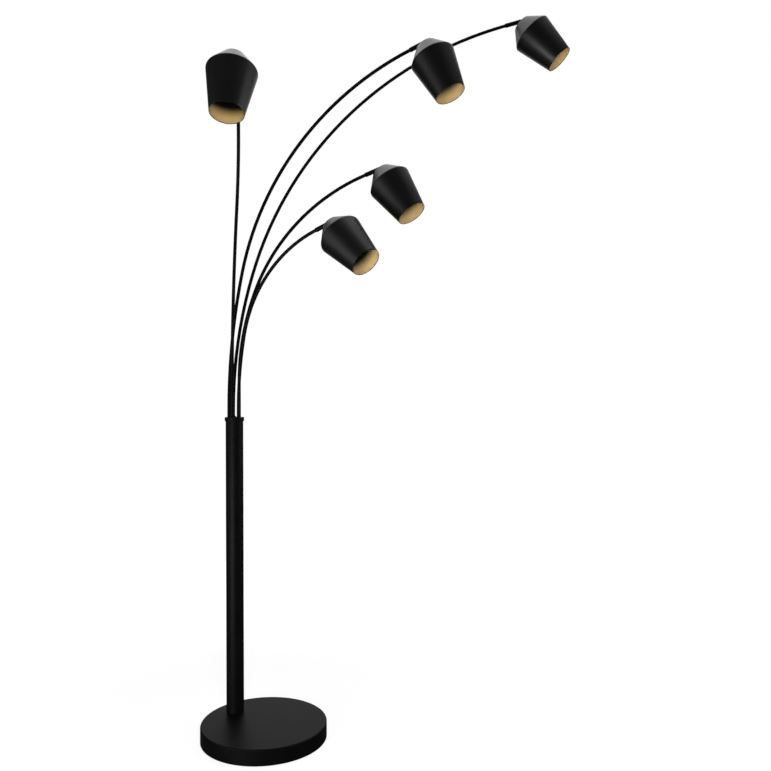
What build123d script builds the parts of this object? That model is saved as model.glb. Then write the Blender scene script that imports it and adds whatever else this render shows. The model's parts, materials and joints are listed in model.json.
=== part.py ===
from build123d import *
import math
import os
from collections import namedtuple

# A tree floor lamp: a heavy round base, one column set off the base's centre, and five bent
# tubes that rise from a small cap and fan out, each with a double-cone shade on a knuckle.
#
# Frame, in millimetres: the origin is the base's centre on the floor, +Z is up, and +X runs
# from the column to the base's centre, which is the side that the arms lean out to.

# ---------------------------------------------------------------- base
base_diameter = 350.0
base_height = 45.0
cover_wall = 1.5
cover_edge_radius = 3.5
foot_diameter = 26.0
foot_height = 2.0
foot_count = 5               # on a circle, with one more in the middle
foot_inset = 25.0            # from the base's edge to a foot's centre
plate_thickness = 2.0
plate_gap = 0.5              # between the bottom plate's edge and the cover's wall
weight_thickness = 18.0
weight_gap = 3.0             # between the casting's edge and the cover's wall
weight_edge_chamfer = 4.0
boss_diameter = 20.0
boss_count = 4
boss_inset = 42.0            # from the base's edge to a boss's centre
plate_screw_diameter = 6.0
plate_screw_length = 16.0
plate_screw_head_diameter = 11.5
plate_screw_head_height = 3.0
tapped_clearance = 0.04      # radial gap that stands for a thread in its hole
tapped_spare_depth = 2.0     # of a tapped hole past its screw's end
hex_socket_width = 4.0       # in the plate screws and the cap bolt
hex_socket_depth = 2.0
cord_bore_diameter = 7.0
cord_bush_neck_diameter = 12.0
cord_bush_flange_diameter = 17.0
cord_bush_flange_thickness = 2.5
cord_bush_cheek_diameter = 15.0
cord_bush_length = 10.0
cord_bush_height = 15.0      # above the floor

# ---------------------------------------------------------------- column
column_edge_distance = 57.0  # from the base's edge to the column's axis
column_diameter = 50.0
column_wall = 1.5
lamp_cap_height = 893.0      # top of the cap above the floor
collar_diameter = 55.0
collar_height = 11.0
collar_edge_radius = 1.2
skirt_length = 20.0
inner_fit = 0.05             # radial gap of what is pressed or slid into the column
plug_length = 25.0
nipple_diameter = 16.0
nipple_bore_diameter = 10.0
nipple_hole_gap = 0.3
nipple_tail = 5.0            # that stands out below the nut
washer_diameter = 40.0
washer_thickness = 2.5
nut_width = 24.0
nut_height = 8.0

# ---------------------------------------------------------------- cap and arm bearings
arm_count = 5
arm_circle_diameter = 31.0
first_arm_angle = 4.0        # of the first of the five holes, from +X
bush_diameter = 12.5
bush_flange_diameter = 14.5
bush_flange_thickness = 1.5
running_gap = 0.05           # radial gap of every bearing and hinge
cap_bolt_diameter = 6.0
cap_bolt_head_diameter = 11.0
cap_bolt_head_height = 3.3
cap_bolt_crown_radius = 2.0
bolt_hole_gap = 0.15
guide_drop = 50.0            # from the skirt to the guide disc, over the spacer
guide_thickness = 12.0
spacer_diameter = 10.0
lead_block_length = 18.0
lead_block_diameter = 40.0
cap_nut_width = 10.0
cap_nut_height = 6.0
bolt_tail = 2.0

# ---------------------------------------------------------------- arms
tube_diameter = 9.5
tube_wall = 1.0
lead_diameter = 3.0
lead_hole_diameter = 3.6
foot_flange_diameter = 12.5
foot_flange_thickness = 3.0
foot_spigot_length = 12.0
lead_depth_in_block = 14.0

# Each arm's straight run above the cap, and the radii of its low and its high sweep.
lower_arm_stem = 20.0
lower_arm_low_radius = 1103.0
lower_arm_high_radius = 375.0
middle_arm_stem = 100.0
middle_arm_low_radius = 724.0
middle_arm_high_radius = 579.0
top_arm_stem = 20.0
top_arm_low_radius = 1344.0
top_arm_high_radius = 1079.0
upper_arm_stem = 20.0
upper_arm_low_radius = 1896.0
upper_arm_high_radius = 838.0
front_arm_stem = 20.0
front_arm_low_radius = 3246.0
front_arm_high_radius = 374.0

# ---------------------------------------------------------------- sleeve and knuckle
sleeve_diameter = 12.5
sleeve_length = 36.0
sleeve_bore_depth = 26.0
sleeve_edge_chamfer = 0.8
tube_end_gap = 0.5
knuckle_reach = 9.0          # from the sleeve's end to the hinge pin
pin_diameter = 4.0
pin_head_diameter = 6.5
pin_head_height = 1.0
tongue_thickness = 5.0
tongue_side_gap = 0.1
tongue_width = 9.0
tongue_eye_diameter = 11.0
slot_floor_gap = 0.8
stem_flange_diameter = 16.0
stem_flange_thickness = 1.5
stem_diameter = 10.0
stem_length = 12.0           # thread below the flange
stem_hole_gap = 0.1

# ---------------------------------------------------------------- shade and lampholder
shade_top_diameter = 54.0
shade_ridge_diameter = 125.0
shade_mouth_diameter = 84.0
upper_cone_height = 45.0
lower_cone_height = 118.5
shade_wall = 1.0
shade_top_radius = 4.0
shade_ridge_radius = 4.0
shade_stand_off = 8.5       # from the hinge pin to the shade's flat top
holder_cap_diameter = 29.0
holder_cap_height = 14.0
holder_body_diameter = 26.0
holder_length = 46.0
holder_mouth_diameter = 14.0
holder_mouth_depth = 26.0
holder_lip_diameter = 30.0
holder_lip_thickness = 2.5
holder_edge_chamfer = 2.0

# ---------------------------------------------------------------- the five arms
# Each arm stands straight out of the cap, then bends in two sweeps, a long gentle one and a
# tighter one. heading is the first bend's direction from +X, twist turns the second bend out
# of the first one's plane, roll is the sleeve's turn on the tube, and tilt is the angle from
# the tube's end to the shade's axis.
Arm = namedtuple("Arm", "name hole heading stem low_radius low_turn twist high_radius high_turn roll tilt")
arms = [
    Arm("lower", hole=0, heading=11.5, stem=lower_arm_stem,
        low_radius=lower_arm_low_radius, low_turn=11.3, twist=0,
        high_radius=lower_arm_high_radius, high_turn=58.2, roll=-10.0, tilt=63.8),
    Arm("middle", hole=1, heading=28.0, stem=middle_arm_stem,
        low_radius=middle_arm_low_radius, low_turn=20.8, twist=10.0,
        high_radius=middle_arm_high_radius, high_turn=46.6, roll=-21.5, tilt=79.9),
    Arm("top", hole=2, heading=65.2, stem=top_arm_stem,
        low_radius=top_arm_low_radius, low_turn=18.6, twist=-31.0,
        high_radius=top_arm_high_radius, high_turn=57.7, roll=-1.9, tilt=64.0),
    Arm("upper", hole=3, heading=26.6, stem=upper_arm_stem,
        low_radius=upper_arm_low_radius, low_turn=12.0, twist=0,
        high_radius=upper_arm_high_radius, high_turn=54.3, roll=-9.1, tilt=88.0),
    Arm("front", hole=4, heading=-24.8, stem=front_arm_stem,
        low_radius=front_arm_low_radius, low_turn=10.0, twist=-22.6,
        high_radius=front_arm_high_radius, high_turn=65.0, roll=-0.6, tilt=85.5),
]

# ---------------------------------------------------------------- worked-out sizes
base_radius = base_diameter / 2
column_offset = base_radius - column_edge_distance
cover_inner_radius = base_radius - cover_wall
plate_top = foot_height + plate_thickness
cover_top_inside = base_height - cover_wall
weight_bottom = cover_top_inside - weight_thickness
column_radius = column_diameter / 2
column_inner_radius = column_radius - column_wall
column_top = lamp_cap_height - collar_height
skirt_bottom = column_top - skirt_length
guide_top = skirt_bottom - guide_drop
guide_bottom = guide_top - guide_thickness
block_bottom = guide_bottom - lead_block_length
tube_bottom = guide_top + foot_flange_thickness
tube_radius = tube_diameter / 2
tube_bore_radius = tube_radius - tube_wall
lead_end = guide_bottom - lead_depth_in_block
hinge_reach = sleeve_length + knuckle_reach
shade_top_at = shade_stand_off
ridge_at = shade_top_at + upper_cone_height
mouth_at = ridge_at + lower_cone_height
holder_top_at = shade_top_at + shade_wall
column_axis = Vector(-column_offset, 0, 0)


def rod(radius, low, high, at=Vector(0, 0, 0)):
    """A solid cylinder from height low to height high."""
    return Pos(at.X, at.Y, low) * Cylinder(
        radius, high - low, align=(Align.CENTER, Align.CENTER, Align.MIN)
    )


def ring(outer_radius, inner_radius, low, high, at=Vector(0, 0, 0)):
    """A cylinder with a hole along its axis."""
    return rod(outer_radius, low, high, at) - rod(inner_radius, low, high, at)


def round_spots(radius, count, start_angle, centre=Vector(0, 0, 0)):
    """Points spread evenly on a circle about an upright axis."""
    step = 360 / count
    spots = []
    for i in range(count):
        angle = math.radians(start_angle + i * step)
        spots.append(centre + Vector(radius * math.cos(angle), radius * math.sin(angle), 0))
    return spots


def hex_nut(width, low, high, hole_radius, at):
    """A hexagon nut with a plain hole."""
    blank = extrude(RegularPolygon(width / 2, 6, major_radius=False), high - low)
    return Pos(at.X, at.Y, low) * blank - rod(hole_radius, low, high, at)


arm_spots = round_spots(arm_circle_diameter / 2, arm_count, first_arm_angle, column_axis)
boss_spots = round_spots(base_radius - boss_inset, boss_count, 45)
foot_spots = [Vector(0, 0, 0)] + round_spots(base_radius - foot_inset, foot_count, 36)


# ---------------------------------------------------------------- base
def make_base_cover():
    """Pressed steel drum, open below, with holes for the column's nipple and the cord bush."""
    outside = rod(base_radius, foot_height, base_height)
    outside = fillet(outside.edges().group_by(Axis.Z)[-1], cover_edge_radius)
    inside = rod(cover_inner_radius, foot_height, cover_top_inside)
    inside = fillet(inside.edges().group_by(Axis.Z)[-1], cover_edge_radius - cover_wall)
    cover = outside - inside
    nipple_hole = rod(nipple_diameter / 2 + nipple_hole_gap, cover_top_inside, base_height, column_axis)
    cord_hole = cord_bush_axis() * Cylinder(cord_bush_neck_diameter / 2, 4 * cord_bush_length)
    return cover - nipple_hole - cord_hole


def cord_bush_axis():
    """The cord's way in, at the back of the base, with the local Z pointing out."""
    return Plane(origin=(-base_radius, 0, cord_bush_height), z_dir=(-1, 0, 0)).location


def make_cord_bush():
    """Nylon strain relief with a flange outside the cover's wall and a lip inside it."""
    inner_end = cover_wall + cord_bush_flange_thickness
    neck = ring(cord_bush_neck_diameter / 2, cord_bore_diameter / 2, -inner_end, 0)
    flange_radius = cord_bush_flange_diameter / 2
    wall_seat = base_radius - math.sqrt(base_radius ** 2 - flange_radius ** 2)
    flange = rod(flange_radius, -wall_seat, cord_bush_flange_thickness)
    flange = fillet(flange.edges().group_by(Axis.Z)[-1], cord_bush_flange_thickness / 2)
    cheek_end = cord_bush_flange_thickness - cord_bush_length
    cheek = rod(cord_bush_cheek_diameter / 2, cheek_end, -cover_wall - wall_seat)
    bush = flange + cheek + neck
    bush = cord_bush_axis() * (bush - Cylinder(cord_bore_diameter / 2, 4 * cord_bush_length))
    wall = ring(base_radius, cover_inner_radius, 0, base_height)
    hole = cord_bush_axis() * Cylinder(cord_bush_neck_diameter / 2, 4 * cord_bush_length)
    return bush - (wall - hole)


def make_base_weight():
    """Cast-iron disc under the cover's top, with bosses that the bottom plate is screwed to."""
    disc = rod(cover_inner_radius - weight_gap, weight_bottom, cover_top_inside)
    disc = chamfer(disc.edges().group_by(Axis.Z)[-1], weight_edge_chamfer)
    casting = disc
    for spot in boss_spots:
        casting += rod(boss_diameter / 2, plate_top, weight_bottom, spot)
    hole_radius = plate_screw_diameter / 2 + tapped_clearance
    hole_top = foot_height + plate_screw_length + tapped_spare_depth
    for spot in boss_spots:
        casting -= rod(hole_radius, plate_top, hole_top, spot)
    return casting - rod(nipple_diameter / 2 + nipple_hole_gap, weight_bottom, cover_top_inside, column_axis)


def screw_head_cone(spot):
    """The countersink of one plate screw, flush with the plate's underside."""
    shank = plate_screw_diameter / 2
    head = plate_screw_head_diameter / 2
    cone = Cone(head, shank, plate_screw_head_height, align=(Align.CENTER, Align.CENTER, Align.MIN))
    return Pos(spot.X, spot.Y, foot_height) * cone


def make_base_plate():
    """Flat steel bottom plate that closes the drum."""
    plate = rod(cover_inner_radius - plate_gap, foot_height, plate_top)
    for spot in boss_spots:
        plate -= rod(plate_screw_diameter / 2 + tapped_clearance, foot_height, plate_top, spot)
        plate -= screw_head_cone(spot)
    return plate


def hex_socket(spot, low):
    """The space of a hexagon socket from height low up."""
    section = RegularPolygon(hex_socket_width / 2, 6, major_radius=False)
    return Pos(spot.X, spot.Y, low) * extrude(section, hex_socket_depth)


def make_base_screws():
    """Countersunk screws through the bottom plate into the casting's bosses."""
    screws = []
    for spot in boss_spots:
        shank = rod(plate_screw_diameter / 2, foot_height, foot_height + plate_screw_length, spot)
        head = screw_head_cone(spot) & rod(base_radius, foot_height, plate_top)
        screws.append(shank + head - hex_socket(spot, foot_height))
    return Compound(children=screws)


def make_base_feet():
    """Rubber pads stuck under the bottom plate; the lamp rests on these."""
    pads = []
    for spot in foot_spots:
        pad = rod(foot_diameter / 2, 0, foot_height, spot)
        pads.append(chamfer(pad.edges().group_by(Axis.Z)[0], foot_height / 4))
    return Compound(children=pads)


# ---------------------------------------------------------------- column
def make_column_tube():
    return ring(column_radius, column_inner_radius, base_height, column_top, column_axis)


def make_column_plug():
    """Turned plug in the column's foot, tapped for the nipple."""
    plug_top = base_height + plug_length
    bore = nipple_diameter / 2 + tapped_clearance
    return ring(column_inner_radius - inner_fit, bore, base_height, plug_top, column_axis)


def make_tie_nipple():
    """Hollow threaded tube that ties the column, cover and casting together; the cord passes it."""
    low = weight_bottom - washer_thickness - nut_height - nipple_tail
    return ring(nipple_diameter / 2, nipple_bore_diameter / 2, low, base_height + plug_length, column_axis)


def make_tie_washer():
    inner = nipple_diameter / 2 + nipple_hole_gap
    return ring(washer_diameter / 2, inner, weight_bottom - washer_thickness, weight_bottom, column_axis)


def make_tie_nut():
    top = weight_bottom - washer_thickness
    return hex_nut(nut_width, top - nut_height, top, nipple_diameter / 2 + tapped_clearance, column_axis)


# ---------------------------------------------------------------- cap and arm bearings
def make_column_cap():
    """Turned cap: a collar on top of the column and a skirt inside it, bored for five arms."""
    collar = rod(collar_diameter / 2, column_top, lamp_cap_height, column_axis)
    collar = fillet(collar.edges().group_by(Axis.Z)[-1] + collar.edges().group_by(Axis.Z)[0],
                    collar_edge_radius)
    cap = collar + rod(column_inner_radius - inner_fit, skirt_bottom, lamp_cap_height, column_axis)
    for spot in arm_spots:
        cap -= rod(bush_diameter / 2, skirt_bottom, lamp_cap_height, spot)
    return cap - rod(cap_bolt_diameter / 2 + bolt_hole_gap, skirt_bottom, lamp_cap_height, column_axis)


def make_arm_bushes():
    """Five nylon bushes pressed up into the cap; each arm turns in its own."""
    bushes = []
    bore = tube_radius + running_gap
    for spot in arm_spots:
        barrel = ring(bush_diameter / 2, bore, skirt_bottom, lamp_cap_height, spot)
        low = skirt_bottom - bush_flange_thickness
        bushes.append(barrel + ring(bush_flange_diameter / 2, bore, low, skirt_bottom, spot))
    return Compound(children=bushes)


def make_arm_guide():
    """Disc inside the column that carries the arms' feet."""
    guide = rod(column_inner_radius - inner_fit, guide_bottom, guide_top, column_axis)
    for spot in arm_spots:
        guide -= rod(tube_bore_radius + running_gap, guide_bottom, guide_top, spot)
    return guide - rod(cap_bolt_diameter / 2 + bolt_hole_gap, guide_bottom, guide_top, column_axis)


def make_guide_spacer():
    inner = cap_bolt_diameter / 2 + bolt_hole_gap
    return ring(spacer_diameter / 2, inner, guide_top, skirt_bottom, column_axis)


def make_cap_bolt():
    """Long screw from the cap's centre that clamps the spacer, guide and lead block."""
    low = block_bottom - cap_nut_height - bolt_tail
    head_top = lamp_cap_height + cap_bolt_head_height
    head = rod(cap_bolt_head_diameter / 2, lamp_cap_height, head_top, column_axis)
    head = fillet(head.edges().group_by(Axis.Z)[-1], cap_bolt_crown_radius)
    shank = rod(cap_bolt_diameter / 2, low, lamp_cap_height, column_axis)
    return shank + head - hex_socket(column_axis, head_top - hex_socket_depth)


def make_cap_nut():
    hole = cap_bolt_diameter / 2 + tapped_clearance
    return hex_nut(cap_nut_width, block_bottom - cap_nut_height, block_bottom, hole, column_axis)


def make_lead_block():
    """Round terminal block under the guide, where the five arm leads end."""
    block = rod(lead_block_diameter / 2, block_bottom, guide_bottom, column_axis)
    for spot in arm_spots:
        block -= rod(lead_hole_diameter / 2, lead_end, guide_bottom, spot)
    return block - rod(cap_bolt_diameter / 2 + bolt_hole_gap, block_bottom, guide_bottom, column_axis)


# ---------------------------------------------------------------- one arm
def turned(vector, axis, degrees):
    """A vector turned about a unit axis by the right-hand rule."""
    angle = math.radians(degrees)
    along = axis * axis.dot(vector)
    return along + (vector - along) * math.cos(angle) + axis.cross(vector) * math.sin(angle)


def arm_route(arm, low, end_extra):
    """The arm's centre line from height low to end_extra past the last bend, and its end plane.

    The end plane stands at the last bend's end: Z along the tube, X to the bend's inside.
    """
    spot = arm_spots[arm.hole]
    heading = math.radians(arm.heading)
    along = Vector(0, 0, 1)
    inward = Vector(math.cos(heading), math.sin(heading), 0)
    here = Vector(spot.X, spot.Y, lamp_cap_height + arm.stem)
    edges = [Line((spot.X, spot.Y, low), here)]
    for radius, turn, twist in (
        (arm.low_radius, arm.low_turn, arm.twist),
        (arm.high_radius, arm.high_turn, 0),
    ):
        points = []
        for angle in (math.radians(turn / 2), math.radians(turn)):
            points.append(here + along * (radius * math.sin(angle)) + inward * (radius * (1 - math.cos(angle))))
        edges.append(ThreePointArc(here, points[0], points[1]))
        here = points[1]
        angle = math.radians(turn)
        along, inward = (
            along * math.cos(angle) + inward * math.sin(angle),
            inward * math.cos(angle) - along * math.sin(angle),
        )
        inward = turned(inward, along, twist)
    edges.append(Line(here, here + along * end_extra))
    return Wire(edges), Plane(origin=here, x_dir=inward, z_dir=along)


def swept_round(route, outer_radius, inner_radius, start):
    """A round tube, or a bar where inner_radius is 0, along a route that starts upright."""
    section = Circle(outer_radius)
    if inner_radius:
        section -= Circle(inner_radius)
    return sweep(Pos(start.X, start.Y, start.Z) * section, path=route)


def make_arm_tube(arm):
    spot = arm_spots[arm.hole]
    route, _ = arm_route(arm, tube_bottom, sleeve_bore_depth - tube_end_gap)
    return swept_round(route, tube_radius, tube_bore_radius, Vector(spot.X, spot.Y, tube_bottom))


def make_arm_foot(arm):
    """Turned foot in the tube's lower end; its flange stands on the guide disc."""
    spot = arm_spots[arm.hole]
    journal = rod(tube_bore_radius, guide_bottom, guide_top, spot)
    flange = rod(foot_flange_diameter / 2, guide_top, tube_bottom, spot)
    spigot = rod(tube_bore_radius - tapped_clearance, tube_bottom, tube_bottom + foot_spigot_length, spot)
    top = tube_bottom + foot_spigot_length
    return journal + flange + spigot - rod(lead_hole_diameter / 2, guide_bottom, top, spot)


def make_arm_lead(arm):
    spot = arm_spots[arm.hole]
    route, _ = arm_route(arm, lead_end, sleeve_bore_depth + slot_floor_gap)
    return swept_round(route, lead_diameter / 2, 0, Vector(spot.X, spot.Y, lead_end))


# ---------------------------------------------------------------- sleeve and knuckle
# Local frame of a head: Z along the tube's end from the last bend, Y along the hinge pin.
def head_plane(arm):
    _, end = arm_route(arm, tube_bottom, 1)
    inward = turned(end.x_dir, end.z_dir, arm.roll)
    return Plane(origin=end.origin, x_dir=inward, z_dir=end.z_dir)


def shade_plane(arm):
    """Local frame of a shade: the origin on the hinge pin, Z along the shade to its mouth."""
    head = head_plane(arm)
    tilt_axis = head.y_dir
    return Plane(
        origin=head.origin + head.z_dir * hinge_reach,
        x_dir=turned(head.x_dir, tilt_axis, arm.tilt),
        z_dir=turned(head.z_dir, tilt_axis, arm.tilt),
    )


def make_sleeve(arm):
    """Turned sleeve that swivels on the tube's end, with a fork for the hinge pin."""
    radius = sleeve_diameter / 2
    slot_floor = hinge_reach - tongue_eye_diameter / 2 - slot_floor_gap
    barrel = rod(radius, 0, hinge_reach)
    barrel = chamfer(barrel.edges().group_by(Axis.Z)[0], sleeve_edge_chamfer)
    eye = Pos(0, 0, hinge_reach) * Rot(90, 0, 0) * Cylinder(radius, sleeve_diameter)
    nose = rod(radius, hinge_reach, hinge_reach + radius) & eye
    sleeve = barrel + nose
    sleeve -= rod(tube_radius + running_gap, 0, sleeve_bore_depth)
    sleeve -= rod(lead_hole_diameter / 2, 0, slot_floor)
    slot_width = tongue_thickness + 2 * tongue_side_gap
    slot_height = hinge_reach + radius - slot_floor
    slot = Box(sleeve_diameter, slot_width, slot_height, align=(Align.CENTER, Align.CENTER, Align.MIN))
    sleeve -= Pos(0, 0, slot_floor) * slot
    sleeve -= Pos(0, 0, hinge_reach) * Rot(90, 0, 0) * Cylinder(pin_diameter / 2, sleeve_diameter)
    return head_plane(arm).location * sleeve


def make_hinge_pin(arm):
    """Rivet through the fork, with a low head at each side."""
    fork_half = sleeve_diameter / 2
    pin = Cylinder(pin_diameter / 2, sleeve_diameter)
    for side in (-1, 1):
        head = Cylinder(pin_head_diameter / 2, pin_head_height)
        pin += Pos(0, 0, side * (fork_half + pin_head_height / 2)) * head
    outline = Pos(0, 0, hinge_reach) * Rot(90, 0, 0) * pin
    fork_round = rod(fork_half, 0, 2 * hinge_reach)
    bore = Pos(0, 0, hinge_reach) * Rot(90, 0, 0) * Cylinder(pin_diameter / 2, 2 * sleeve_diameter)
    return head_plane(arm).location * (outline - (fork_round - bore))


def make_shade_stem(arm):
    """Tongue on the hinge pin, with a flange on the shade's top and a thread through it."""
    eye_radius = tongue_eye_diameter / 2
    flange_top = shade_top_at - stem_flange_thickness
    eye = Rot(90, 0, 0) * Cylinder(eye_radius, tongue_thickness)
    shank = Box(tongue_width, tongue_thickness, shade_top_at, align=(Align.CENTER, Align.CENTER, Align.MIN))
    flange = rod(stem_flange_diameter / 2, flange_top, shade_top_at)
    thread = rod(stem_diameter / 2, shade_top_at, shade_top_at + stem_length)
    stem = eye + shank + flange + thread
    stem -= Rot(90, 0, 0) * Cylinder(pin_diameter / 2 + running_gap, 2 * tongue_thickness)
    lead_hole = rod(lead_hole_diameter / 2, eye_radius, shade_top_at + stem_length)
    return shade_plane(arm).location * (stem - lead_hole)


# ---------------------------------------------------------------- shade and lampholder
def cone_outline(inset):
    """Half of the shade's profile, moved in from the outside by inset, open at the mouth."""
    top = shade_top_diameter / 2
    ridge = shade_ridge_diameter / 2
    mouth = shade_mouth_diameter / 2
    upper_slope = math.atan2(upper_cone_height, ridge - top)
    lower_slope = math.atan2(ridge - mouth, lower_cone_height)
    top_in = inset * math.tan(upper_slope / 2)
    side_in = inset / math.cos(lower_slope)
    ridge_turn = (math.pi / 2 - upper_slope + lower_slope) / 2
    corner_reach = inset / math.cos(ridge_turn)
    corner_angle = (math.pi / 2 - upper_slope - lower_slope) / 2
    ridge_point = (
        ridge - corner_reach * math.cos(corner_angle),
        ridge_at + corner_reach * math.sin(corner_angle),
    )
    return (top - top_in, shade_top_at + inset), ridge_point, (mouth - side_in, mouth_at)


def cone_solid(inset, top_radius, ridge_radius):
    """The solid inside one profile of the shade."""
    (top_r, top_z), (ridge_r, ridge_z), (mouth_r, mouth_z) = cone_outline(inset)
    profile = Polyline((0, top_z), (top_r, top_z), (ridge_r, ridge_z), (mouth_r, mouth_z), (0, mouth_z), close=True)
    face = make_face(profile)
    by_distance = face.vertices().sort_by_distance((ridge_r, ridge_z))
    face = fillet(by_distance[0:1], ridge_radius)
    by_distance = face.vertices().sort_by_distance((top_r, top_z))
    face = fillet(by_distance[0:1], top_radius)
    upright = Plane.XZ.location * face
    return revolve(upright, axis=Axis.Z)


def make_shade(arm):
    """Spun double cone: a flat top, a short cone out to the ridge and a long one to the mouth."""
    outside = cone_solid(0, shade_top_radius, shade_ridge_radius + shade_wall)
    inside = cone_solid(shade_wall, shade_top_radius - shade_wall, shade_ridge_radius)
    shell = outside - inside
    shell -= rod(stem_diameter / 2 + stem_hole_gap, shade_top_at, holder_top_at)
    return shade_plane(arm).location * shell


def make_lampholder(arm):
    """Small screw lampholder, threaded on the stem under the shade's top."""
    cap_end = holder_top_at + holder_cap_height
    end = holder_top_at + holder_length
    cap = rod(holder_cap_diameter / 2, holder_top_at, cap_end)
    body = rod(holder_body_diameter / 2, cap_end, end)
    lip = rod(holder_lip_diameter / 2, end - holder_lip_thickness, end)
    holder = chamfer(cap.edges().group_by(Axis.Z)[0], holder_edge_chamfer) + body + lip
    stem_end = shade_top_at + stem_length
    holder -= rod(stem_diameter / 2 + tapped_clearance, holder_top_at, stem_end)
    holder -= rod(holder_mouth_diameter / 2, end - holder_mouth_depth, end)
    return shade_plane(arm).location * holder


# ---------------------------------------------------------------- the whole lamp
def fixed_parts():
    return {
        "base_cover": make_base_cover(),
        "base_weight": make_base_weight(),
        "base_plate": make_base_plate(),
        "base_screws": make_base_screws(),
        "base_feet": make_base_feet(),
        "cord_bush": make_cord_bush(),
        "column_tube": make_column_tube(),
        "column_plug": make_column_plug(),
        "tie_nipple": make_tie_nipple(),
        "tie_washer": make_tie_washer(),
        "tie_nut": make_tie_nut(),
        "column_cap": make_column_cap(),
        "arm_bushes": make_arm_bushes(),
        "arm_guide": make_arm_guide(),
        "guide_spacer": make_guide_spacer(),
        "cap_bolt": make_cap_bolt(),
        "cap_nut": make_cap_nut(),
        "lead_block": make_lead_block(),
    }


def arm_parts(arm):
    return {
        "arm_tube_" + arm.name: make_arm_tube(arm),
        "arm_foot_" + arm.name: make_arm_foot(arm),
        "arm_lead_" + arm.name: make_arm_lead(arm),
        "sleeve_" + arm.name: make_sleeve(arm),
        "hinge_pin_" + arm.name: make_hinge_pin(arm),
        "shade_stem_" + arm.name: make_shade_stem(arm),
        "shade_" + arm.name: make_shade(arm),
        "lampholder_" + arm.name: make_lampholder(arm),
    }


parts = fixed_parts()
for arm in arms:
    parts.update(arm_parts(arm))

os.makedirs("parts", exist_ok=True)
for name, solid in parts.items():
    export_step(solid, f"parts/{name}.step")
print(len(parts), "parts written")
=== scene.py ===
# %% [markdown]
# # A tree floor lamp, dressed for the camera
#
# The lamp has a heavy round base, a column set off the base's centre, and five bent tubes that
# fan out from a small cap. Each tube carries a double-cone shade on a knuckle. The construction
# comes in as a fixed frame of named pieces at their real size. This notebook gives every piece
# its finish, and makes the few pieces that need a finer mesh than construction does: the spun
# shades, the screw shells of the lampholders, and the small screws in the sleeves.
#
# We keep to one habit all the way through: a size is written once, in millimetres, and every
# place is read from the frame. Only the studio round the lamp is laid out in metres.

# %% The frame
import json
import math

import bmesh
import bpy
from mathutils import Matrix, Vector


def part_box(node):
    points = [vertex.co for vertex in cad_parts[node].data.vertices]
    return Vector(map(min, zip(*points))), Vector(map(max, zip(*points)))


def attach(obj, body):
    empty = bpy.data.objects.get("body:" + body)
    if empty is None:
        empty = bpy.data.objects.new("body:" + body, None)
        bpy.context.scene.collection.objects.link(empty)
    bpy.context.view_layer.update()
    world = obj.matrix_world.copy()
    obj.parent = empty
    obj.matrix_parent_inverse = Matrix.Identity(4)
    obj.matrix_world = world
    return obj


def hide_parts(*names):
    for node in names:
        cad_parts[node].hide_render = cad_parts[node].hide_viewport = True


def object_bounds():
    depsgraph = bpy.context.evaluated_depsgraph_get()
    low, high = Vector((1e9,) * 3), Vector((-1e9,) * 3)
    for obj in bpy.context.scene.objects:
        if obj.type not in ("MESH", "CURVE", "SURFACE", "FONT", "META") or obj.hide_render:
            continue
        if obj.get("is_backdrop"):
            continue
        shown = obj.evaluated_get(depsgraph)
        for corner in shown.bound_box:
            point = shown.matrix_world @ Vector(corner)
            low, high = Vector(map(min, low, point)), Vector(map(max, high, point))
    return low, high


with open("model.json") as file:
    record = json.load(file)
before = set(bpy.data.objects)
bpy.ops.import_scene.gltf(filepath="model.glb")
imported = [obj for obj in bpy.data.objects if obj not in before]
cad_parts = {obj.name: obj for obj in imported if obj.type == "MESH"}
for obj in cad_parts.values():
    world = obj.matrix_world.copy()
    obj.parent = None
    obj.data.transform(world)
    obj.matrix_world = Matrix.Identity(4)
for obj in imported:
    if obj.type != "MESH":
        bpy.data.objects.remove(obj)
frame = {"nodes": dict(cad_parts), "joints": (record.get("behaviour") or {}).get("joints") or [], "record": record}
cad_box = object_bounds()

MM = 0.001
ARMS = ("lower", "middle", "top", "upper", "front")
joints = {joint["name"]: joint for joint in frame["joints"]}
mounts = {mount["name"]: mount for mount in frame["record"]["mounts"]}

# %% [markdown]
# ## Where each head is
#
# A head is the sleeve, knuckle and shade at a tube's end. Its places are all in the record: the
# swivel joint stands where the sleeve starts and points along the tube, the tilt joint is the
# hinge pin, and the bulb socket points out of the shade's mouth. Two local frames follow from
# them. Building a piece in such a frame and moving it once is simpler than building it slanted.

# %% Local frames of a head
def local_frame(origin, y_axis, z_axis):
    """A matrix from a local frame to the lamp's, with Z and Y along the given directions."""
    z = Vector(z_axis).normalized()
    y = Vector(y_axis)
    y = (y - z * y.dot(z)).normalized()
    x = y.cross(z)
    return Matrix.Translation(Vector(origin)) @ Matrix((x, y, z)).transposed().to_4x4()


def sleeve_frame(arm):
    """The origin is the sleeve's rear end, Z runs along the tube and X to the bend's inside."""
    swivel = joints[arm + "_sleeve_swivel"]
    pin = joints[arm + "_shade_tilt"]
    return local_frame(swivel["pos_m"], pin["axis"], swivel["axis"])


def shade_frame(arm):
    """The origin is on the hinge pin, and Z runs along the shade to its mouth."""
    pin = joints[arm + "_shade_tilt"]
    return local_frame(pin["pos_m"], pin["axis"], mounts["bulb_socket_" + arm]["axis"])


for arm in ARMS:
    downward = -shade_frame(arm).to_3x3().col[2].z
    print(arm, "shade points", round(math.degrees(math.asin(downward))), "degrees below level")

# %% [markdown]
# ## Colours
#
# Colours are written as sRGB hex values, the way a paint chart gives them. The renderer works in
# linear light, where mid grey is about a fifth of white, so one function turns them over. Its
# constants are those of the sRGB standard: a straight piece near black, and a power above it.

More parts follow.
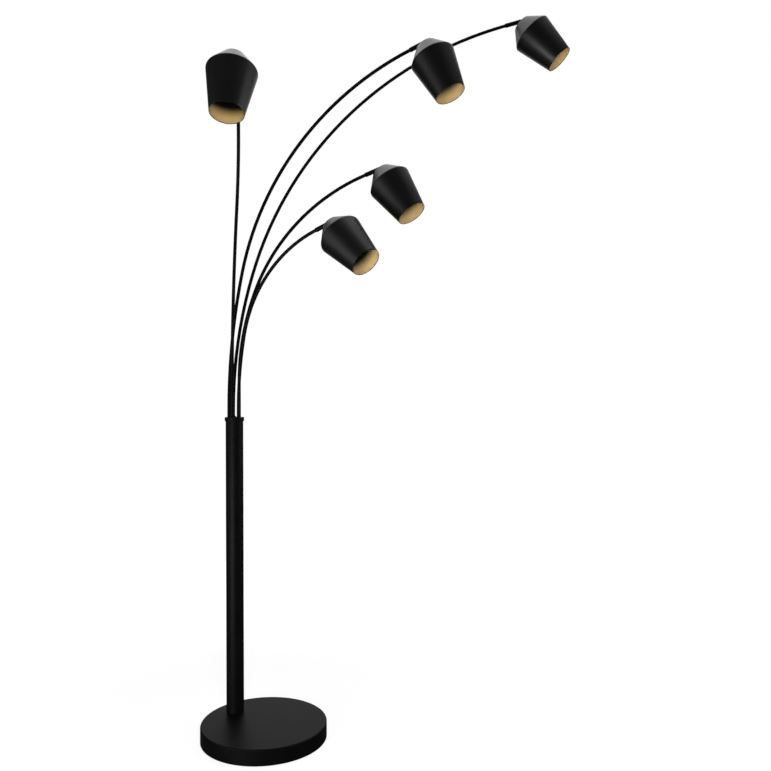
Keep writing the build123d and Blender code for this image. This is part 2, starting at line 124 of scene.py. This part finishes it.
# %% Colour helper
def linear(hex_colour):
    """An sRGB hex colour as linear red, green, blue and alpha."""
    channels = [int(hex_colour[i:i + 2], 16) / 255 for i in (1, 3, 5)]
    return tuple(
        c / 12.92 if c <= 0.04045 else ((c + 0.055) / 1.055) ** 2.4 for c in channels
    ) + (1.0,)


print("mid grey is", round(linear("#808080")[0], 3), "in linear light")

# %% [markdown]
# ## Nodes
#
# A material could be put together by hand in the shader editor. Written as code it stays
# readable with one small function, which adds a node: a socket given as an input is linked and
# anything else is set, so a material reads from top to bottom like a recipe. Every pattern is
# placed by object coordinates, which need no unwrapping and have the same scale on every piece.

# %% Node helpers
noise_span = {"From Min": 0.3, "From Max": 0.7}      # where nearly all of a noise's values lie


def add(tree, kind, inputs=None, **settings):
    """Adds one shader node with its settings, its set inputs and its linked inputs."""
    node = tree.nodes.new("ShaderNode" + kind)
    for name, value in settings.items():
        setattr(node, name, value)
    for name, value in (inputs or {}).items():
        if isinstance(value, bpy.types.NodeSocket):
            tree.links.new(value, node.inputs[name])
        else:
            node.inputs[name].default_value = value
    return node


def new_material(name):
    """An empty node material with its output, and the coordinates of the unmoved surface."""
    material = bpy.data.materials.new(name)
    material.use_nodes = True
    tree = material.node_tree
    tree.nodes.clear()
    output = add(tree, "OutputMaterial")
    place = add(tree, "TexCoord").outputs["Object"]
    return material, tree, output, place


print("noise from", noise_span["From Min"], "to", noise_span["From Max"], "spreads to all")

# %% [markdown]
# ## Powder coat
#
# Nearly all that shows is steel with a matte black powder coat: polyester powder, sprayed on dry
# and baked. The flow of the melting powder leaves a very fine orange-peel texture, about a
# millimetre from bump to bump, over a grain of a few tenths. The resin's IOR is about 1.5, so
# the black turns pale only where it is seen at a low angle. That glancing sheen draws the lamp's
# upper cones and edges, and the roughness decides how far it reaches. An image could carry the
# texture, but noise at the powder's real scale fits every piece. The shades are smoother and
# glossier than the base, the column and the tubes, so the coat is made twice.

# %% Powder coat material
peel_spacing = 1.1
powder_spacing = 0.35
patch_spacing = 60.0
powder_spread = 0.04                 # how far the grain moves the roughness up and down
resin_ior = 1.5


def powder_coat(name, dark, light, roughness, specular, peel_height):
    """Black powder coat, with its colours, its roughness and the height of its orange peel."""
    material, tree, output, place = new_material(name)
    peel = add(tree, "TexNoise", {
        "Vector": place, "Scale": 1 / (peel_spacing * MM), "Detail": 2.0,
    })
    powder = add(tree, "TexNoise", {
        "Vector": place, "Scale": 1 / (powder_spacing * MM), "Detail": 1.0,
    })
    patch = add(tree, "TexNoise", {
        "Vector": place, "Scale": 1 / (patch_spacing * MM), "Detail": 3.0,
    })
    bump = add(tree, "Bump", {
        "Height": peel.outputs["Fac"], "Distance": peel_height * MM, "Strength": 1.0,
    })
    blend = add(tree, "MapRange", {"Value": patch.outputs["Fac"], **noise_span})
    colour = add(tree, "Mix", {
        "Factor": blend.outputs["Result"], "A": linear(dark), "B": linear(light),
    }, data_type="RGBA")
    matte = add(tree, "MapRange", {
        "Value": powder.outputs["Fac"], **noise_span,
        "To Min": roughness - powder_spread, "To Max": roughness + powder_spread,
    })
    shader = add(tree, "BsdfPrincipled", {
        "Base Color": colour.outputs["Result"],
        "Roughness": matte.outputs["Result"],
        "IOR": resin_ior,
        "Specular IOR Level": specular,
        "Normal": bump.outputs["Normal"],
    })
    tree.links.new(shader.outputs["BSDF"], output.inputs["Surface"])
    return material


black_powder_coat = powder_coat("black_powder_coat_steel", "#040404", "#070707",
                                roughness=0.47, specular=0.08, peel_height=0.006)
shade_powder_coat = powder_coat("black_powder_coat_spun_shade", "#020202", "#050505",
                                roughness=0.42, specular=0.62, peel_height=0.003)
print("powder coats:", black_powder_coat.name, "and", shade_powder_coat.name)

# %% [markdown]
# ## Gold lacquer
#
# The shades are gold inside: a bronze-powder lacquer sprayed over the spun sheet. The flakes lie
# at all angles in a clear binder, so it is more a warm, chalky paint than a metal, and a pale
# champagne near the mouth. Deeper in, the colour carries painted shade: from 14 mm deep the gold
# fades towards a dark colour, and by 55 mm only that dark colour is left, standing in for the
# shade deep inside the cone. A gradient in object space can't say how deep a point lies, because
# the five shades slant five ways. Each point of the spun mesh carries its depth from the mouth as
# an attribute instead, and the material reads that. The
# grain of such a powder is a few hundredths of a millimetre, and is drawn at half a millimetre
# to show at all.

# %% Gold lacquer material
flake_spacing = 0.5
flake_height = 0.004
# painted shade: from the first depth the gold fades towards a dark colour, and from the second it is fully dark
painted_shade_start_depth = 14.0
painted_shade_full_depth = 55.0
gold_dark = "#e0be7e"
gold_light = "#e9cb92"
# the colour of the painted shade deep inside each shade
painted_deep_shade_colour = "#14110c"
flake_share = 0.3                    # how much of the lacquer acts as bare metal
gold_roughness = 0.47
flake_spread = 0.05                  # how far the flakes move the roughness up and down


def gold_lacquer():
    """Gold lacquer with painted shade: it darkens with the depth from the shade's mouth."""
    material, tree, output, place = new_material("satin_gold_lacquer")
    flake = add(tree, "TexNoise", {
        "Vector": place, "Scale": 1 / (flake_spacing * MM), "Detail": 2.0,
    })
    patch = add(tree, "TexNoise", {
        "Vector": place, "Scale": 1 / (patch_spacing * MM), "Detail": 3.0,
    })
    bump = add(tree, "Bump", {
        "Height": flake.outputs["Fac"], "Distance": flake_height * MM, "Strength": 1.0,
    })
    blend = add(tree, "MapRange", {"Value": patch.outputs["Fac"], **noise_span})
    gold = add(tree, "Mix", {
        "Factor": blend.outputs["Result"], "A": linear(gold_dark), "B": linear(gold_light),
    }, data_type="RGBA")
    depth = add(tree, "Attribute", attribute_name="depth_mm").outputs["Fac"]
    # painted shade: the gold fades to the dark colour with the depth from the mouth
    unshaded_share = add(tree, "MapRange", {
        "Value": depth, "From Min": painted_shade_start_depth, "From Max": painted_shade_full_depth,
        "To Min": 1.0, "To Max": 0.0,
    }, interpolation_type="SMOOTHSTEP")
    colour = add(tree, "Mix", {
        "Factor": unshaded_share.outputs["Result"], "A": linear(painted_deep_shade_colour), "B": gold.outputs["Result"],
    }, data_type="RGBA")
    satin = add(tree, "MapRange", {
        "Value": flake.outputs["Fac"], **noise_span,
        "To Min": gold_roughness - flake_spread, "To Max": gold_roughness + flake_spread,
    })
    shader = add(tree, "BsdfPrincipled", {
        "Base Color": colour.outputs["Result"],
        "Metallic": flake_share,
        "Roughness": satin.outputs["Result"],
        "Normal": bump.outputs["Normal"],
    })
    tree.links.new(shader.outputs["BSDF"], output.inputs["Surface"])
    return material


satin_gold = gold_lacquer()
# the printed depth is where the painted shade is full
print(satin_gold.name, "is bare from", painted_shade_full_depth, "mm deep")

# %% [markdown]
# ## The materials that are mostly hidden
#
# Under the base and in the heads are a cast-iron weight, zinc-plated steel, rubber, nylon and
# two plastics. Each could have a recipe of its own, but so little of them shows that they share
# one, a principled shader with a grain at the process's own scale, and differ in their numbers.
# The metals keep the default IOR.

# %% Plain materials
polish_spread = 0.05                 # how far the grain moves the roughness up and down


def plain_material(name, dark, light, roughness, spacing, height, metallic=0.0, ior=1.5):
    """A plain finish, with the spacing and the height of its grain in millimetres."""
    material, tree, output, place = new_material(name)
    grain = add(tree, "TexNoise", {
        "Vector": place, "Scale": 1 / (spacing * MM), "Detail": 3.0,
    }).outputs["Fac"]
    bump = add(tree, "Bump", {"Height": grain, "Distance": height * MM, "Strength": 1.0})
    blend = add(tree, "MapRange", {"Value": grain, **noise_span})
    colour = add(tree, "Mix", {
        "Factor": blend.outputs["Result"], "A": linear(dark), "B": linear(light),
    }, data_type="RGBA")
    polish = add(tree, "MapRange", {
        "Value": grain, **noise_span,
        "To Min": roughness - polish_spread, "To Max": roughness + polish_spread,
    })
    shader = add(tree, "BsdfPrincipled", {
        "Base Color": colour.outputs["Result"],
        "Metallic": metallic,
        "Roughness": polish.outputs["Result"],
        "IOR": ior,
        "Normal": bump.outputs["Normal"],
    })
    tree.links.new(shader.outputs["BSDF"], output.inputs["Surface"])
    return material


# After the two colours come the roughness, and the spacing and height of the grain.
finishes = {
    "matte_black_steel": black_powder_coat,
    "shade_paint": shade_powder_coat,
    "cast_iron": plain_material(
        "primed_cast_iron", "#2a2a2b", "#3a3a3a", 0.7, 1.5, 0.1),
    "zinc_steel": plain_material(
        "zinc_plated_steel", "#9ea1a4", "#b4b7ba", 0.32, 3.0, 0.01, metallic=1.0),
    "rubber": plain_material(
        "moulded_rubber", "#161616", "#1e1e1e", 0.75, 1.0, 0.02, ior=1.52),
    "black_nylon": plain_material(
        "moulded_black_nylon", "#121212", "#191919", 0.5, 1.0, 0.01, ior=1.53),
    "white_plastic": plain_material(
        "moulded_white_polyamide", "#d8d6cf", "#e4e2db", 0.45, 1.0, 0.01, ior=1.53),
    "black_plastic": plain_material(
        "moulded_black_thermoplastic", "#101010", "#171717", 0.38, 1.0, 0.01, ior=1.55),
    "brass": plain_material(
        "turned_brass", "#b08d4f", "#c4a263", 0.28, 2.0, 0.005, metallic=1.0),
    "lead_sheath": plain_material(
        "extruded_pvc_sheath", "#181818", "#202020", 0.45, 1.0, 0.01, ior=1.53),
}

slot_of = {piece["node"]: piece["material_slot"] for piece in frame["record"]["subparts"]}
for name, node in frame["nodes"].items():
    for slot in node.material_slots:
        slot.material = finishes[slot_of[name]]
print(len(finishes), "finishes on", len(slot_of), "nodes")

# %% [markdown]
# ## Profiles
#
# Spun and turned pieces are all one thing: a half profile carried round an axis. The profile
# could be drawn as a curve, but a list of points in millimetres, radius first, is easier to
# check against a drawing. Corners get their radius from an arc, because real sheet metal has no
# sharp fold.

# %% Profile helpers
long_run = 5.0                       # a straight run above this length is held flat


def rounded(points, radii, steps=8):
    """An open outline with its inner corners replaced by arcs, each with its own radius."""
    outline = [Vector(points[0])]
    for before, corner, after, radius in zip(points, points[1:], points[2:], radii):
        corner = Vector(corner)
        back = (Vector(before) - corner).normalized()
        ahead = (Vector(after) - corner).normalized()
        half = back.angle(ahead) / 2
        centre = corner + (back + ahead).normalized() * (radius / math.sin(half))
        start = corner + back * (radius / math.tan(half))
        end = corner + ahead * (radius / math.tan(half))
        start_angle = math.atan2(start.y - centre.y, start.x - centre.x)
        sweep = math.atan2(end.y - centre.y, end.x - centre.x) - start_angle
        sweep = (sweep + math.pi) % (2 * math.pi) - math.pi
        for i in range(steps + 1):
            angle = start_angle + sweep * i / steps
            outline.append(centre + radius * Vector((math.cos(angle), math.sin(angle))))
    outline.append(Vector(points[-1]))
    return outline


def held(outline, share=0.02):
    """Adds a point near both ends of each long run, so that smooth shading stays flat there."""
    points = [outline[0]]
    for start, end in zip(outline, outline[1:]):
        if (end - start).length > long_run:
            points += [start.lerp(end, share), start.lerp(end, 1 - share)]
        points.append(end)
    return points


corner_test = rounded([(0, 0), (10, 0), (10, 10)], [2.0])
print("a rounded corner has", len(corner_test), "points")

# %% [markdown]
# ## Rings
#
# Blender's Screw modifier would carry a profile round its axis. Plain rings of vertices, joined
# by bands of quads, do the same and let us choose the finish of each band. They also serve for
# shapes that aren't quite round, such as a thread or a hexagon socket, because the radius may
# change with the angle.

# %% Ring helpers
def add_ring(mesh, segments, radius_at, height):
    """Adds a ring of vertices round Z. radius_at gives the radius at each angle."""
    ring = []
    for i in range(segments):
        angle = 2 * math.pi * i / segments
        radius = radius_at(angle)
        spot = Vector((radius * math.cos(angle), radius * math.sin(angle), height))
        ring.append(mesh.verts.new(spot * MM))
    return ring


def join_rings(mesh, ring, next_ring):
    """Joins two rings with a band of quads, and gives their faces."""
    faces = []
    for i in range(len(ring)):
        j = (i + 1) % len(ring)
        faces.append(mesh.faces.new((ring[i], ring[j], next_ring[j], next_ring[i])))
    return faces


def turn(bands, segments=144):
    """A closed mesh of rings. bands is a list of outlines, each with its own material index."""
    mesh = bmesh.new()
    rings = []
    indices = []
    for index, outline in enumerate(bands):
        for point in outline if not rings else outline[1:]:
            if rings:
                indices.append(index)
            rings.append(add_ring(mesh, segments, lambda angle: point.x, point.y))
    indices.append(0)
    for ring, next_ring, index in zip(rings, rings[1:] + rings[:1], indices):
        for face in join_rings(mesh, ring, next_ring):
            face.material_index = index
            face.smooth = True
    bmesh.ops.recalc_face_normals(mesh, faces=mesh.faces)
    return mesh


washer = turn([[Vector((3, 0)), Vector((6, 0)), Vector((6, 1)), Vector((3, 1))]], segments=12)
print("a turned washer of 12 segments has", len(washer.faces), "faces")
washer.free()

# %% [markdown]
# ## Putting a piece in place
#
# A finished mesh is moved from its local frame to the lamp's in one go, and its object stays at
# the origin like those of the construction. It could be parented to the shade it belongs to, but
# riding on the named body of the frame is what lets it follow the joints.

# %% Placing helper
def piece_from(mesh, name, place, body, materials):
    """Makes an object of a mesh in a local frame, puts it in place and lets it ride on a body."""
    data = bpy.data.meshes.new(name)
    mesh.to_mesh(data)
    mesh.free()
    for material in materials:
        data.materials.append(material)
    data.transform(place)
    piece = bpy.data.objects.new(name, data)
    bpy.context.scene.collection.objects.link(piece)
    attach(piece, body)
    return piece


# %% [markdown]
# ## The profile of a shade
#
# A shade is one disc of steel, spun over a former into two cones that meet in a ridge. The sheet
# is a millimetre thick, so the ridge is a tight radius that catches a thin line of light, and
# the mouth is a cut edge, dressed round and painted black. Gold starts just inside it. The inner
# outline could be a scaled copy of the outer one, but the sheet would then vary in thickness. So
# its corners are worked out, one sheet thickness in from the outer ones.

# %% Shade profile
stand_off = 8.5                      # from the hinge pin to the shade's flat top
mouth_at = 172.0                     # from the hinge pin to the shade's mouth, along the shade
shade_top_diameter = 54.0
shade_ridge_diameter = 125.0
shade_mouth_diameter = 84.0
upper_cone_height = 45.0
sheet = 1.0
stem_hole_diameter = 10.2
top_radius = 4.0
ridge_radius = 5.0
black_edge = 1.2                     # how far the black coat laps into the mouth
lip_steps = 8

ridge_at = stand_off + upper_cone_height


def inner_corner(before, corner, after):
    """The corner of the sheet's inner side, one sheet thickness in from the outer corner."""
    back = (Vector(before) - Vector(corner)).normalized()
    ahead = (Vector(after) - Vector(corner)).normalized()
    half = back.angle(ahead) / 2
    return Vector(corner) + (back + ahead).normalized() * (sheet / math.sin(half))


def shade_bands():
    """Two outlines: the black outside with its lip, and the gold inside."""
    hole = stem_hole_diameter / 2
    top = Vector((shade_top_diameter / 2, stand_off))
    ridge = Vector((shade_ridge_diameter / 2, ridge_at))
    mouth = Vector((shade_mouth_diameter / 2, mouth_at))
    inner_top = inner_corner((0, stand_off), top, ridge)
    inner_ridge = inner_corner(top, ridge, mouth)
    slope = (mouth - ridge).normalized()
    inner_mouth = mouth + Vector((-slope.y, slope.x)) * sheet

    edge = sheet / 2
    lip_start = mouth - slope * edge
    lip_end = inner_mouth - slope * edge
    lip_centre = lip_start.lerp(lip_end, 0.5)
    across = (mouth - inner_mouth).normalized()
    lip = []
    for i in range(1, lip_steps):
        angle = math.pi * i / lip_steps
        reach = across * (edge * math.cos(angle)) + slope * (edge * math.sin(angle))
        lip.append(lip_centre + reach)

    outside = rounded([(hole, stand_off), top, ridge, mouth], [top_radius, ridge_radius])
    outside[-1] = lip_start
    black_inside = inner_mouth - slope * (edge + black_edge)
    inside = rounded([black_inside, inner_ridge, inner_top, (hole, stand_off + sheet)],
                     [ridge_radius - sheet, top_radius - sheet])
    return [held(outside) + lip + [lip_end, black_inside], held(inside)]


black_band, gold_band = shade_bands()
print("shade profile:", len(black_band), "points in black and", len(gold_band), "in gold")

# %% [markdown]
# ## The spun shades
#
# The solids of the construction have the same cones, but the round lip and the depth that the
# gold reads need a mesh of our own. So the profile is turned into a shade for each arm, and the
# shade takes the place of the solid.

# %% Shades
def write_depth(mesh):
    """Writes each point's depth from the mouth into the mesh, for the gold to read."""
    depth = mesh.verts.layers.float.new("depth_mm")
    for vertex in mesh.verts:
        vertex[depth] = mouth_at - vertex.co.z / MM


for arm in ARMS:
    mesh = turn([black_band, gold_band])
    write_depth(mesh)
    shade = piece_from(mesh, "spun_shade_" + arm, shade_frame(arm), "head_" + arm,
                       [shade_powder_coat, satin_gold])
    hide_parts("shade_" + arm)
    low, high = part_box("shade_" + arm)
    print(shade.name, [round(side / MM) for side in high - low], "mm box of the solid")

# %% [markdown]
# ## Screw shells in the lampholders
#
# Looking up into a shade, the eye finds the bulb's screw shell: thin nickel-plated brass with
# the round thread of a small Edison screw, 14 mm across with a pitch of 2.82 mm. A helix swept
# by a curve would leave seams where the turns meet. A rolled thread is only a ripple that climbs
# as it goes round, so here the radius of each point follows a cosine of its height and angle.

# %% Screw shells
thread_pitch = 2.82
thread_crest_diameter = 13.9
thread_depth = 0.5
shell_length = 20.0
shell_wall = 0.25
holder_end = 55.5                    # from the hinge pin to the lampholder's mouth
shell_inset = 3.0                    # from the lampholder's mouth to the shell

nickel = plain_material(
    "nickel_plated_brass", "#b9b2a6", "#cbc4b8", 0.22, 2.0, 0.005, metallic=1.0)


def thread_radius(climb, angle):
    """The shell's outer radius at a height and an angle."""
    phase = 2 * math.pi * climb / thread_pitch - angle
    return (thread_crest_diameter - thread_depth + thread_depth * math.cos(phase)) / 2


def screw_shell(segments=64, steps_per_pitch=10):
    """A threaded tube round Z with an outer and an inner wall."""
    mesh = bmesh.new()
    steps = round(shell_length / thread_pitch * steps_per_pitch)
    walls = []
    for wall in (0.0, shell_wall):
        rings = []
        for k in range(steps + 1):
            climb = shell_length * k / steps
            rings.append(add_ring(
                mesh, segments, lambda angle: thread_radius(climb, angle) - wall,
                holder_end - shell_inset - climb,
            ))
        walls.append(rings)
    outer, inner = walls
    pairs = list(zip(outer, outer[1:])) + list(zip(inner, inner[1:]))
    pairs += [(outer[0], inner[0]), (outer[-1], inner[-1])]
    for ring, next_ring in pairs:
        for face in join_rings(mesh, ring, next_ring):
            face.smooth = True
    bmesh.ops.recalc_face_normals(mesh, faces=mesh.faces)
    return mesh


for arm in ARMS:
    shell = piece_from(screw_shell(), "screw_shell_" + arm, shade_frame(arm), "head_" + arm,
                       [nickel])
    print(shell.name, "has", len(shell.data.polygons), "faces")

# %% [markdown]
# ## Grub screws
#
# Each sleeve is held on its tube by a small screw with a hexagon socket, near its rear end and
# on the underside. It stands out less than a millimetre, but it is the one fastening that shows.
# A Boolean could cut the socket, but rings that go from round to hexagon leave cleaner faces.

# %% Grub screws
grub_diameter = 3.0
grub_from_rear = 4.5
grub_length = 3.0
grub_stand = 0.7                     # how far the screw stands out of the sleeve
grub_chamfer = 0.25
socket_width = 1.5
socket_depth = 1.0
sleeve_diameter = 12.5


def hexagon_reach(angle):
    """How far it is from the middle of the socket to its wall at an angle."""
    from_flat = (angle + math.pi / 6) % (math.pi / 3) - math.pi / 6
    return socket_width / 2 / math.cos(from_flat)


def grub_screw(segments=24):
    """A short screw along Z with a chamfered end and a hexagon socket."""
    mesh = bmesh.new()
    radius = grub_diameter / 2
    rings = [
        add_ring(mesh, segments, lambda angle: radius, 0),
        add_ring(mesh, segments, lambda angle: radius, grub_length - grub_chamfer),
        add_ring(mesh, segments, lambda angle: radius - grub_chamfer, grub_length),
        add_ring(mesh, segments, hexagon_reach, grub_length),
        add_ring(mesh, segments, hexagon_reach, grub_length - socket_depth),
    ]
    for ring, next_ring in zip(rings, rings[1:]):
        join_rings(mesh, ring, next_ring)
    mesh.faces.new(list(reversed(rings[0])))
    mesh.faces.new(rings[-1])
    bmesh.ops.recalc_face_normals(mesh, faces=mesh.faces)
    return mesh


for arm in ARMS:
    start = Vector((sleeve_diameter / 2 + grub_stand - grub_length, 0, grub_from_rear)) * MM
    place = sleeve_frame(arm) @ Matrix.Translation(start) @ Matrix.Rotation(math.pi / 2, 4, "Y")
    screw = piece_from(grub_screw(), "grub_screw_" + arm, place, "swivel_" + arm,
                       [black_powder_coat])
    print(screw.name, "has", len(screw.data.polygons), "faces")

# %% [markdown]
# ## The floor
#
# The lamp stands on a sheet of white paper. More light would turn it white, but would also wash
# out the lamp and its shadow. So the paper itself is a mid grey that takes the shadow, and a
# glow that only the camera sees lifts it to white, a little less near the lamp than far out.
# Mirror-like rays see one plain dim level instead, because black paint would turn grey with a
# bright floor below it.

# %% Floor
camera_heading = math.radians(127.4)                 # the way the camera looks, from +X
toward_backdrop = Vector((math.cos(camera_heading), math.sin(camera_heading), 0))
floor_radius = 2.2
floor_paper = "#8a8a8a"
near_glow = 0.8                                      # the glow at the lamp, where 1 is white
near_glow_reach = 0.5                                # how far out it stays at that
full_glow_reach = 1.6                                # and from where it is full
floor_in_gloss = 0.06                                # what mirror-like rays see


def paper_sweep():
    """White paper that glows for the camera and is dim in mirror-like rays."""
    material, tree, output, place = new_material("white_paper_sweep")
    rays = add(tree, "LightPath").outputs
    mirrored = add(tree, "Math", {
        0: rays["Is Glossy Ray"], 1: rays["Is Transmission Ray"],
    }, operation="MAXIMUM")
    distance = add(tree, "VectorMath", {0: place}, operation="LENGTH")
    seen = add(tree, "MapRange", {
        "Value": distance.outputs["Value"],
        "From Min": near_glow_reach, "From Max": full_glow_reach,
        "To Min": near_glow, "To Max": 1.0,
    }, interpolation_type="SMOOTHSTEP")
    direct = add(tree, "Math", {
        0: rays["Is Camera Ray"], 1: seen.outputs["Result"],
    }, operation="MULTIPLY")
    glow = add(tree, "Emission", {"Color": linear("#ffffff"), "Strength": direct.outputs[0]})
    paper = add(tree, "BsdfDiffuse", {"Color": linear(floor_paper)})
    lit = add(tree, "AddShader", {0: glow.outputs[0], 1: paper.outputs[0]})
    in_gloss = add(tree, "Emission", {"Color": linear("#ffffff"), "Strength": floor_in_gloss})
    shown = add(tree, "MixShader", {
        0: mirrored.outputs[0], 1: lit.outputs[0], 2: in_gloss.outputs[0],
    })
    tree.links.new(shown.outputs[0], output.inputs["Surface"])
    return material


disc = bmesh.new()
bmesh.ops.create_circle(disc, cap_ends=True, segments=96, radius=floor_radius)
floor_data = bpy.data.meshes.new("studio_floor")
disc.to_mesh(floor_data)
disc.free()
floor_data.materials.append(paper_sweep())
floor = bpy.data.objects.new("studio_floor", floor_data)
bpy.context.scene.collection.objects.link(floor)
floor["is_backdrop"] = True
print("floor of", floor_radius * 2, "m across")

# %% [markdown]
# ## The background
#
# The background is the world, which camera rays see at full white. Black paint is drawn by what
# it reflects, so what matters is where the studio is bright: behind the lamp and a little above
# level, as with a white backdrop, and dark on the camera's side. A picture of a studio could
# light it so, but a smooth spot round one direction is enough. Everything else gets a low, even
# light from all sides.

# %% World
backdrop_rise = math.radians(12)                     # how far above level it is brightest
brightest = toward_backdrop * math.cos(backdrop_rise) + Vector((0, 0, math.sin(backdrop_rise)))
backdrop_outer = 0.8                                 # cosine of the angle at which it fades in
backdrop_inner = 0.99                                # and of the angle at which it is full
dark_side_in_gloss = 0.03                            # what mirror-like rays see elsewhere
even_light = 0.12                                    # what lights the lamp from all sides


def white_world():
    """A world that is white to the camera and has one bright side for mirror-like rays."""
    world = bpy.data.worlds.new("studio_world")
    world.use_nodes = True
    tree = world.node_tree
    tree.nodes.clear()
    output = add(tree, "OutputWorld")
    rays = add(tree, "LightPath").outputs
    direction = add(tree, "TexCoord").outputs["Generated"]
    behind = add(tree, "VectorMath", {0: direction, 1: brightest}, operation="DOT_PRODUCT")
    backdrop = add(tree, "MapRange", {
        "Value": behind.outputs["Value"], "From Min": backdrop_outer, "From Max": backdrop_inner,
        "To Min": dark_side_in_gloss, "To Max": 1.0,
    }, interpolation_type="SMOOTHSTEP")
    mirrored = add(tree, "Math", {
        0: rays["Is Glossy Ray"], 1: rays["Is Transmission Ray"],
    }, operation="MAXIMUM")
    lit = add(tree, "Mix", {
        "Factor": mirrored.outputs[0], "A": even_light, "B": backdrop.outputs["Result"],
    }, data_type="FLOAT")
    seen = add(tree, "Mix", {
        "Factor": rays["Is Camera Ray"], "A": lit.outputs["Result"], "B": 1.0,
    }, data_type="FLOAT")
    background = add(tree, "Background", {
        "Color": linear("#ffffff"), "Strength": seen.outputs["Result"],
    })
    tree.links.new(background.outputs[0], output.inputs["Surface"])
    return world


bpy.context.scene.world = white_world()
print("world:", bpy.context.scene.world.name)

# %% [markdown]
# ## Soft boxes
#
# Six soft boxes light the lamp, together to about the level at which a white sheet of paper is
# just white. The one overhead stands a little behind and gives the tops of the shades their
# sheen. A wide one at the left and two strips, at the right and back right, draw the edges of
# the column and the cones. The low box at the front left draws the pale line down the column,
# and shines up into the shades. The last stands beside the camera and fills the gold insides. A
# black gloss would mirror it as a pale patch in the middle of every cone, so it is hidden from
# mirror-like rays. Area lamps do for all six: no reflection here is sharp enough to need a mesh.

# %% Soft boxes
lamp_middle = (cad_box[0] + cad_box[1]) / 2
to_right = Vector((toward_backdrop.y, -toward_backdrop.x, 0))


def soft_box(name, right, back, up, width, height, power, mirrored=True):
    """A soft box placed from the lamp's middle, by how far it is to the right, back and up."""
    data = bpy.data.lights.new(name, "AREA")
    data.shape = "RECTANGLE"
    data.size = width
    data.size_y = height
    data.energy = power
    box = bpy.data.objects.new(name, data)
    box.location = lamp_middle + to_right * right + toward_backdrop * back + Vector((0, 0, up))
    box.rotation_euler = (lamp_middle - box.location).to_track_quat("-Z", "Y").to_euler()
    box.visible_camera = False
    box.visible_glossy = mirrored
    bpy.context.scene.collection.objects.link(box)
    return box


# Right, back and up from the lamp's middle, width and height, all in metres, and watts.
boxes = [
    soft_box("overhead_soft_box", 0, 0.7, 2.4, 3.0, 3.0, 44),
    soft_box("left_soft_box", -2.5, -1.0, 0.1, 1.8, 2.2, 9),
    soft_box("right_strip", 2.6, -0.3, 0.3, 0.5, 2.2, 16),
    soft_box("back_right_strip", 2.4, 1.2, 0.5, 0.8, 2.2, 10),
    soft_box("low_front_box", -1.0, -1.5, -0.8, 1.0, 0.7, 22),
    soft_box("camera_side_fill", 0.1, -2.2, 0.0, 0.5, 0.5, 46, mirrored=False),
]
print(len(boxes), "soft boxes,", sum(box.data.energy for box in boxes), "W in all")

# %% [markdown]
# ## The camera
#
# The view is taken from a little below half the lamp's height, almost level, off to the side
# that the arms lean to. The focal length and place come from fitting the base's ellipse, the
# column's edges and the shades' rims. Turning the camera with a constraint would do as well, but
# a heading and a drop say plainly where it looks.

# %% Camera
focal_share = 819 / 771                              # focal length over the frame's width
camera_place = Vector((1.6529, -1.6025, 1.0211))
camera_drop = math.radians(0.91)                     # how far below level the camera looks

camera_data = bpy.data.cameras.new("camera")
camera_data.sensor_fit = "HORIZONTAL"
camera_data.lens = camera_data.sensor_width * focal_share
camera = bpy.data.objects.new("camera", camera_data)
camera.location = camera_place
look = toward_backdrop * math.cos(camera_drop) - Vector((0, 0, math.sin(camera_drop)))
camera.rotation_euler = look.to_track_quat("-Z", "Y").to_euler()
bpy.context.scene.collection.objects.link(camera)
bpy.context.scene.camera = camera
bpy.context.scene.view_settings.view_transform = "Standard"
print("camera", round(camera_place.z, 2), "m up, with a lens of", round(camera_data.lens, 1), "mm")

# %% [markdown]
# ## Measuring and finishing
#
# Both boxes, of the solids and of the dressed lamp, are printed side by side. The dressed lamp
# has to stay as large as its construction.

# %% Sizes and the end
visual_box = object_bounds()
for label, box in (("solids", cad_box), ("dressed", visual_box)):
    print(label, [round(side, 3) for side in box[1] - box[0]], "m")
